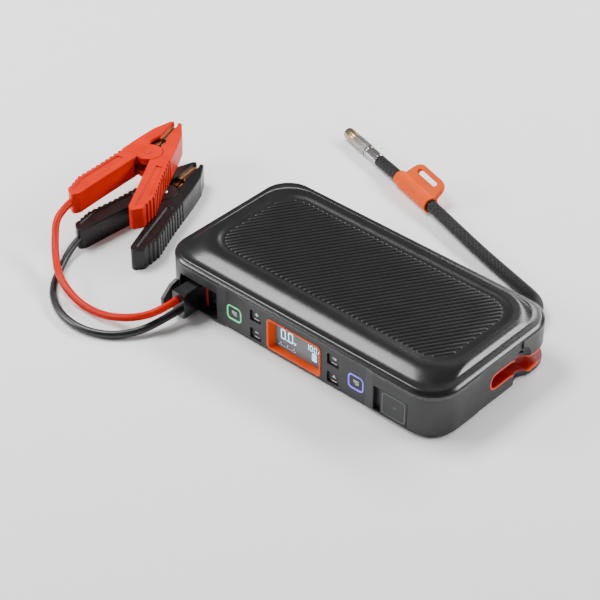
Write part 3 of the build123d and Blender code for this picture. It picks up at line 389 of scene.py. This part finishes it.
def from_faces(name, points, faces, smooth=False):
    """A mesh from its points, in metres, and its faces."""
    mesh = bpy.data.meshes.new(name)
    mesh.from_pydata([tuple(p) for p in points], [], faces)
    shape = bmesh.new()
    shape.from_mesh(mesh)
    bmesh.ops.recalc_face_normals(shape, faces=shape.faces)
    shape.to_mesh(mesh)
    shape.free()
    for face in mesh.polygons:
        face.use_smooth = smooth
    return mesh


# ---- Cords -----------------------------------------------------------------------------------------
hose_points = [
    (90.0, 63.8, 10.25),
    (90.0, 81.5, 8.4),
    (80.5, 96.0, 5.4),
    (62.0, 102.5, 4.6),
    (18.0, 115.0, 5.0),
    (-36.0, 133.0, 6.1),
    (-88.5, 150.0, 6.1),
    (-112.2, 157.5, 5.0),
]
red_points = [
    (-91.0, -77.7, 16.5),
    (-91.3, -90.5, 16.2),
    (-98.0, -100.5, 12.6),
    (-111.0, -107.5, 8.0),
    (-128.5, -111.5, 3.6),
    (-148.0, -112.5, 2.8),
    (-166.0, -110.0, 6.5),
    (-181.0, -104.0, 9.6),
    (-196.0, -92.5, 10.6),
    (-207.0, -82.5, 15.5),
    (-214.5, -74.0, 22.5),
    (-218.6, -61.0, 25.0),
    (-220.4, -52.5, 25.2),
]
black_points = [
    (-91.0, -77.7, 7.3),
    (-91.8, -92.0, 6.8),
    (-97.5, -109.0, 4.0),
    (-110.0, -123.5, 2.8),
    (-129.0, -131.0, 2.8),
    (-149.0, -129.5, 2.8),
    (-167.0, -121.5, 2.8),
    (-180.5, -109.0, 2.8),
    (-189.5, -94.5, 2.8),
    (-197.0, -81.5, 3.8),
    (-201.0, -70.5, 6.4),
    (-202.8, -58.5, 8.2),
]


cord_steps = 14
cord_sides = 8


def cord_curve(name, points, diameter, material, node, body):
    """A round cord on one smooth NURBS line through its route."""
    curve = bpy.data.curves.new(name, "CURVE")
    curve.dimensions = "3D"
    line = curve.splines.new("NURBS")
    line.points.add(len(points) - 1)
    for knot, place in zip(line.points, points):
        knot.co = (*[v * MM for v in place], 1.0)
    line.order_u = 3
    line.use_endpoint_u = True
    line.resolution_u = cord_steps
    curve.bevel_depth = diameter * MM / 2
    curve.bevel_resolution = cord_sides
    curve.use_fill_caps = True
    made = bpy.data.objects.new(name, curve)
    bpy.context.collection.objects.link(made)
    curve.materials.append(material)
    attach(made, body)
    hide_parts(node)
    return made


hose = cord_curve("hose_line", hose_points, hose_diameter, braid, "air_hose", "case")
red_line = cord_curve(
    "red_line", red_points, lead_diameter, red_cable, "red_lead", "lead_set"
)
black_line = cord_curve(
    "black_line",
    black_points,
    lead_diameter,
    black_cable,
    "black_lead",
    "lead_set",
)


# ---- Hose fitting: turned pieces ----------------------------------------------------------------------
fitting_start = Vector(hose_points[-1]) * MM
fitting_way = Vector(hose_points[-1]) - Vector(hose_points[-2])
fitting_way.z = 0.0
fitting_way.normalize()


turned_sides = 96
flute_depth = 0.13
sharp_from = radians(22)
up = Vector((0, 0, 1))


def turned(name, profile, material, node, body, fluted=()):
    """A piece turned round the fitting's axis, from pairs of distance and radius.

    It replaces a CAD node. fluted gives the two distances that its shallow flutes lie between.
    """
    across = up.cross(fitting_way)
    count = turned_sides
    points = []
    for distance, radius in profile:
        cut = flute_depth if fluted and fluted[0] <= distance <= fluted[1] else 0.0
        for index in range(count):
            angle = 2 * pi * index / count
            reach = radius - (cut if index % 2 else 0.0)
            ray = across * cos(angle) + up * sin(angle)
            points.append(fitting_start + fitting_way * distance * MM + ray * reach * MM)
    faces = []
    for row in range(len(profile)):
        after_row = (row + 1) % len(profile)
        for index in range(count):
            after = (index + 1) % count
            faces.append(
                (
                    row * count + index,
                    row * count + after,
                    after_row * count + after,
                    after_row * count + index,
                )
            )
    mesh = from_faces(name, points, faces, smooth=True)
    mesh.set_sharp_from_angle(angle=sharp_from)
    made = piece(name, mesh, material, body)
    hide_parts(node)
    return made


ferrule = turned(
    "ferrule_turned",
    [
        (0.0, 1.7),
        (0.0, 4.6),
        (0.15, 4.78),
        (1.0, 4.8),
        (1.2, 4.62),
        (1.6, 4.62),
        (1.8, 4.8),
        (12.4, 4.72),
        (12.7, 4.3),
        (13.6, 4.25),
        (13.8, 4.75),
        (14.9, 4.75),
        (15.0, 4.6),
        (15.0, 1.7),
    ],
    chrome,
    "hose_ferrule",
    "case",
)
coupler = turned(
    "coupler_turned",
    [
        (15.05, 1.7),
        (15.05, 4.3),
        (15.8, 4.3),
        (15.9, 4.85),
        (16.2, 4.9),
        (31.6, 4.9),
        (32.0, 4.8),
        (32.0, 1.7),
    ],
    silver,
    "coupler_body",
    "case",
    fluted=(16.2, 31.4),
)
collar = turned(
    "collar_turned",
    [
        (32.3, 3.1),
        (32.3, 4.3),
        (32.6, 4.5),
        (33.6, 4.6),
        (34.0, 4.5),
        (34.4, 4.6),
        (44.6, 4.6),
        (45.1, 4.4),
        (45.1, 3.9),
        (36.0, 3.85),
        (36.0, 3.1),
    ],
    champagne,
    "coupler_collar",
    "collar",
)


# ---- Cover: soft plateau with a dished grip field -------------------------------------------------
def rounded_loop(half_x, front, back, corner, height, arc_steps=14, side_steps=10):
    """Points round a rounded rectangle, in metres, the same number for any size."""
    turns = [
        (half_x - corner, back - corner, 0),
        (-half_x + corner, back - corner, 90),
        (-half_x + corner, front + corner, 180),
        (half_x - corner, front + corner, 270),
    ]
    points = []
    for index, (x, y, start) in enumerate(turns):
        for step in range(arc_steps + 1):
            angle = radians(start + 90 * step / arc_steps)
            points.append((x + corner * cos(angle), y + corner * sin(angle)))
        last = points[-1]
        x, y, start = turns[(index + 1) % 4]
        after = (x + corner * cos(radians(start)), y + corner * sin(radians(start)))
        for step in range(1, side_steps):
            share = step / side_steps
            points.append(tuple(a + (b - a) * share for a, b in zip(last, after)))
    return [(x * MM, y * MM, height * MM) for x, y in points]


def skin(name, loops, close_last=True):
    """A skin over a stack of loops of the same number of points."""
    count = len(loops[0])
    points = [point for loop in loops for point in loop]
    faces = []
    for row in range(len(loops) - 1):
        for index in range(count):
            after = (index + 1) % count
            first, second = row * count, (row + 1) * count
            faces.append((first + index, first + after, second + after, second + index))
    if close_last:
        faces.append(tuple(range((len(loops) - 1) * count, len(loops) * count)))
    return from_faces(name, points, faces, smooth=True)


def between(first, second, share, height):
    """A loop part of the way from one outline to another, at its own height."""
    sizes = [a + (b - a) * share for a, b in zip(first, second)]
    return rounded_loop(*sizes, height)


# outlines of the cover, as half length, front, back and corner radius, and the heights between them
rim = (120.0, -62.5, 62.5, 22.0)
foot = (114.0, -56.0, 56.3, 20.0)
crest = (109.0, -42.0, 52.5, 26.0)
crest_inner = (105.5, -39.2, 49.2, 23.5)
field = (98.8, -34.3, 42.8, 18.6)
rim_low = 33.7
rim_high = 36.5
top = 39.96
field_height = 38.75
skirt_inset = 3.2
skirt_low = 31.0
slope_steps = 14
slope_bulge = 1.15
shoulder_steps = 3
shoulder_drop = 0.15
dip_steps = 10


def rim_loop(inset, height):
    """The case outline moved in by an inset."""
    half_x, front, back, corner = rim
    return rounded_loop(half_x - inset, front + inset, back - inset, corner - inset, height)


rim_profile = [
    (skirt_inset, skirt_low),
    (skirt_inset, rim_low),
    (0.25, rim_low),
    (0.05, rim_low + 0.06),
    (0.0, rim_low + 0.25),
    (0.08, rim_low + 0.5),
    (0.3, rim_low + 0.8),
    (2.05, rim_high - 0.26),
    (2.5, rim_high - 0.06),
    (2.9, rim_high),
    (4.4, rim_high),
    (5.4, rim_high + 0.02),
]
cover_loops = [rim_loop(inset, height) for inset, height in rim_profile]
for step in range(1, slope_steps + 1):
    share = step / slope_steps
    rise = sin(share * pi / 2) ** slope_bulge
    cover_loops.append(between(foot, crest, share, rim_high + (top - rim_high) * rise))
for step in range(1, shoulder_steps + 1):
    share = step / shoulder_steps
    cover_loops.append(between(crest, crest_inner, share, top - shoulder_drop * share))
for step in range(1, dip_steps + 1):
    share = step / dip_steps
    fall = (1 - cos(share * pi)) / 2
    height = top - shoulder_drop + (field_height - top + shoulder_drop) * fall
    cover_loops.append(between(crest_inner, field, share, height))
cover_shell = piece("cover_shell", skin("cover_shell", cover_loops), cover_black, "case")
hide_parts("top_cover")


# ---- Ribs of the grip field ------------------------------------------------------------------------
rib_pitch = 3.5
rib_width = 2.5
rib_height = 0.6
rib_angle = radians(57.0)
rib_way = (cos(rib_angle), sin(rib_angle))
rib_across = (-sin(rib_angle), cos(rib_angle))
rib_margin = 0.3
rib_rows = 36
rib_reach = 130.0
rib_search = 0.25
rib_shortest = 3.75
rib_end = 1.3
rib_tip = 0.5
rib_span = 12.0
rib_sink = 0.05
profile_steps = 6
middle_y = (field[1] + field[2]) / 2


def inside_field(x, y):
    """True where a point lies in the rounded field that the ribs fill."""
    half_x, front, back, corner = field
    over_x = abs(x) - (half_x - rib_margin - corner)
    over_y = abs(y - middle_y) - ((back - front) / 2 - rib_margin - corner)
    return hypot(max(over_x, 0), max(over_y, 0)) + min(max(over_x, over_y), 0) < corner


def rib_stations(low, high):
    """Places along a rib between its two ends, each with how full the rib is there."""
    run = high - low - 2 * rib_end
    spans = max(1, int(run / rib_span))
    stations = [(low, 0.25), (low + rib_tip, 0.75), (low + rib_end, 1.0)]
    stations += [(low + rib_end + run * step / spans, 1.0) for step in range(1, spans)]
    return stations + [(high - rib_end, 1.0), (high - rib_tip, 0.75), (high, 0.25)]


rib_points = []
rib_faces = []
search_steps = int(rib_reach / rib_search)
for row in range(-rib_rows, rib_rows + 1):
    aside = row * rib_pitch
    inside = []
    for step in range(-search_steps, search_steps + 1):
        along = step * rib_search
        x = aside * rib_across[0] + along * rib_way[0]
        y = middle_y + aside * rib_across[1] + along * rib_way[1]
        if inside_field(x, y):
            inside.append(along)
    if not inside or inside[-1] - inside[0] < rib_shortest:
        continue
    stations = rib_stations(inside[0], inside[-1])
    first = len(rib_points)
    for along, fullness in stations:
        for step in range(profile_steps + 1):
            angle = pi * step / profile_steps
            side_step = aside + rib_width / 2 * cos(angle) * (0.6 + 0.4 * fullness)
            x = side_step * rib_across[0] + along * rib_way[0]
            y = middle_y + side_step * rib_across[1] + along * rib_way[1]
            z = field_height - rib_sink + rib_height * fullness * sin(angle)
            rib_points.append((x * MM, y * MM, z * MM))
    width = profile_steps + 1
    for station in range(len(stations) - 1):
        for step in range(profile_steps):
            corner = first + station * width + step
            rib_faces.append((corner, corner + 1, corner + width + 1, corner + width))
rib_field = piece(
    "rib_field",
    from_faces("rib_field", rib_points, rib_faces, smooth=True),
    rib_rubber,
    "case",
)
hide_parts("grip_pad")


# ---- Flat marks seen from the control side -------------------------------------------------------
def front_marks(name, bars, depth, material, body):
    """Thin flat bars on a plane that faces the control side; each bar is four corners x, z."""
    points = []
    faces = []
    for corners in bars:
        first = len(points)
        points += [(x * MM, depth * MM, z * MM) for x, z in corners]
        faces.append(tuple(range(first, first + len(corners))))
    return piece(name, from_faces(name, points, faces), material, body)


def bar(x, z, width, height, lean=0.0):
    """A bar centred at x, z; its top leans to the right by lean."""
    half_x, half_z = width / 2, height / 2
    return [
        (x - half_x - lean, z - half_z),
        (x + half_x - lean, z - half_z),
        (x + half_x + lean, z + half_z),
        (x - half_x + lean, z + half_z),
    ]


def zero_digit(x, z, width, height, stroke):
    """The lit segments of a nought, with small gaps between them."""
    half_x, half_z = width / 2 - stroke / 2, height / 2 - stroke / 2
    bars = [bar(x, z + side * half_z, width - 1.3 * stroke, stroke) for side in (-1, 1)]
    for side_x in (-1, 1):
        for side_z in (-1, 1):
            bars.append(
                bar(x + side_x * half_x, z + side_z * half_z / 2, stroke, half_z - 0.35)
            )
    return bars


screen_front = -57.16
battery_x = 14.4
screen_bars = zero_digit(-12.8, 17.0, 4.2, 8.0, 0.75)
screen_bars += [bar(-9.5, 13.4, 0.8, 0.8)]
screen_bars += zero_digit(-6.4, 17.0, 4.2, 8.0, 0.75)
screen_bars += [bar(-3.1, 14.0, 0.5, 2.0, -0.35), bar(-2.1, 14.0, 0.5, 2.0, 0.35)]
screen_bars += [bar(9.4, 18.2, 0.5, 4.2)]
screen_bars += zero_digit(11.8, 18.2, 2.4, 4.4, 0.45)
screen_bars += zero_digit(15.2, 18.2, 2.4, 4.4, 0.45)
screen_bars += [bar(18.2, 18.2, 0.4, 3.4, 0.6)]
front_marks("screen_digits", screen_bars, screen_front, digit_glow, "case")
battery_bars = [bar(battery_x, 14.9, 1.6, 0.6)]
battery_bars += [bar(battery_x + side * 1.7, 11.7, 0.4, 5.4) for side in (-1, 1)]
battery_bars += [bar(battery_x, z, 3.8, 0.4) for z in (9.0, 14.4)]
battery_bars += [bar(battery_x, z, 2.3, 1.0) for z in (10.1, 11.7, 13.3)]
front_marks("screen_battery", battery_bars, screen_front, digit_glow, "case")
scale_bars = [bar(-16.5 + 2.3 * step, 7.4, 1.6, 0.35) for step in range(7)]
scale_bars += [bar(x, 9.0, 0.6, 1.1) for x in (-15.0, -9.0, -3.5)]
front_marks("screen_scale", scale_bars, screen_front, faint_glow, "case")

key_front = -59.93
key_x = 34.0
key_high = 22.5
key_low = 7.9
# each key's mark: where its middle is, and its bars as offset x, offset z, width and height
key_marks = {
    "plus_cap": (-key_x, key_high, [(0, 0.9, 2.9, 0.55), (0, 0.9, 0.55, 2.9)]),
    "minus_cap": (-key_x, key_low, [(0, 0.9, 2.9, 0.55)]),
    "unit_cap": (key_x, key_high, [(0, 1.2, 3.4, 0.5), (0.6, 0.3, 2.2, 0.4)]),
    "lamp_cap": (key_x, key_low, [(0, 1.2, 1.0, 1.0), (0, 0.2, 3.0, 0.4)]),
}
for body, (x, z, marks) in key_marks.items():
    bars = [bar(x + dx, z + dz, width, height) for dx, dz, width, height in marks]
    # the pale bar under each key is a painted highlight of the lit bottom wall of the key's recess
    bars.append(bar(x, z - 2.9, 4.6, 0.4))
    front_marks(f"{body}_mark", bars, key_front, glyph_painted_glow, body)

button_front = -61.03
button_x = 53.5
for body, x in (("power_key", -button_x), ("mode_key", button_x)):
    bars = [bar(x, 16.4, 4.6, 0.55), bar(x, 15.0, 4.6, 0.4), bar(x + 0.6, 13.8, 3.2, 0.4)]
    front_marks(f"{body}_mark", bars, button_front, glyph_painted_glow, body)


# ---- USB door outline and its small mark ------------------------------------------------------------
def outline(name, sides, corner, width, depth, material, body):
    """A thin rounded frame, facing the control side; sides are its left, right, bottom and top."""
    left, right, bottom, high = sides
    middle = (left + right) / 2 * MM
    loops = []
    for inset in (0.0, width):
        half = (right - left) / 2 - inset
        flat = rounded_loop(
            half, bottom + inset, high - inset, corner - inset, 0.0, arc_steps=6, side_steps=1
        )
        loops.append([(point[0] + middle, depth * MM, point[1]) for point in flat])
    mesh = skin(name, loops, close_last=False)
    return piece(name, mesh, material, body)


door_face = -62.43
door_edge = (76.2, 95.0, 4.6, 21.6)
door_mark = bar(86.6, 13.4, 2.6, 0.7)
outline("door_edge", door_edge, 2.6, 0.5, door_face, grey_edge, "usb_flap")
front_marks("door_mark", [door_mark], door_face, grey_edge, "usb_flap")


# ---- Clamp rivets -------------------------------------------------------------------------------------
rivet_sides = 40
rivet_rise = 0.7


def rivet(name, x, y, z, radius, material, body):
    """A low domed head on a clamp's pivot."""
    loops = []
    for share in (0.0, 0.25, 0.5, 0.75, 0.93):
        reach = radius * sqrt(1 - share * share)
        loop = []
        for index in range(rivet_sides):
            angle = 2 * pi * index / rivet_sides
            place = (x + reach * cos(angle), y + reach * sin(angle), z + rivet_rise * share)
            loop.append(tuple(value * MM for value in place))
        loops.append(loop)
    return piece(name, skin(name, loops), material, body)


rivet("red_rivet", -216.9, 19.9, 33.4, 3.0, red_plastic, "lead_set")
rivet("black_rivet", -190.0, 8.0, 16.4, 2.6, steel, "lead_set")


# ---- Floor -------------------------------------------------------------------------------------------
floor_size = 6.0
floor_height = -0.00005
floor_corners = [(-floor_size, -floor_size), (floor_size, -floor_size)]
floor_corners += [(floor_size, floor_size), (-floor_size, floor_size)]
floor_mesh = from_faces("floor", [(x, y, floor_height) for x, y in floor_corners], [(0, 1, 2, 3)])
floor = bpy.data.objects.new("floor", floor_mesh)
bpy.context.collection.objects.link(floor)
floor_mesh.materials.append(
    surface("floor_white", (0.97, 0.97, 0.97), (0.96, 0.96, 0.96), 0.8, 200.0, 0.0)
)
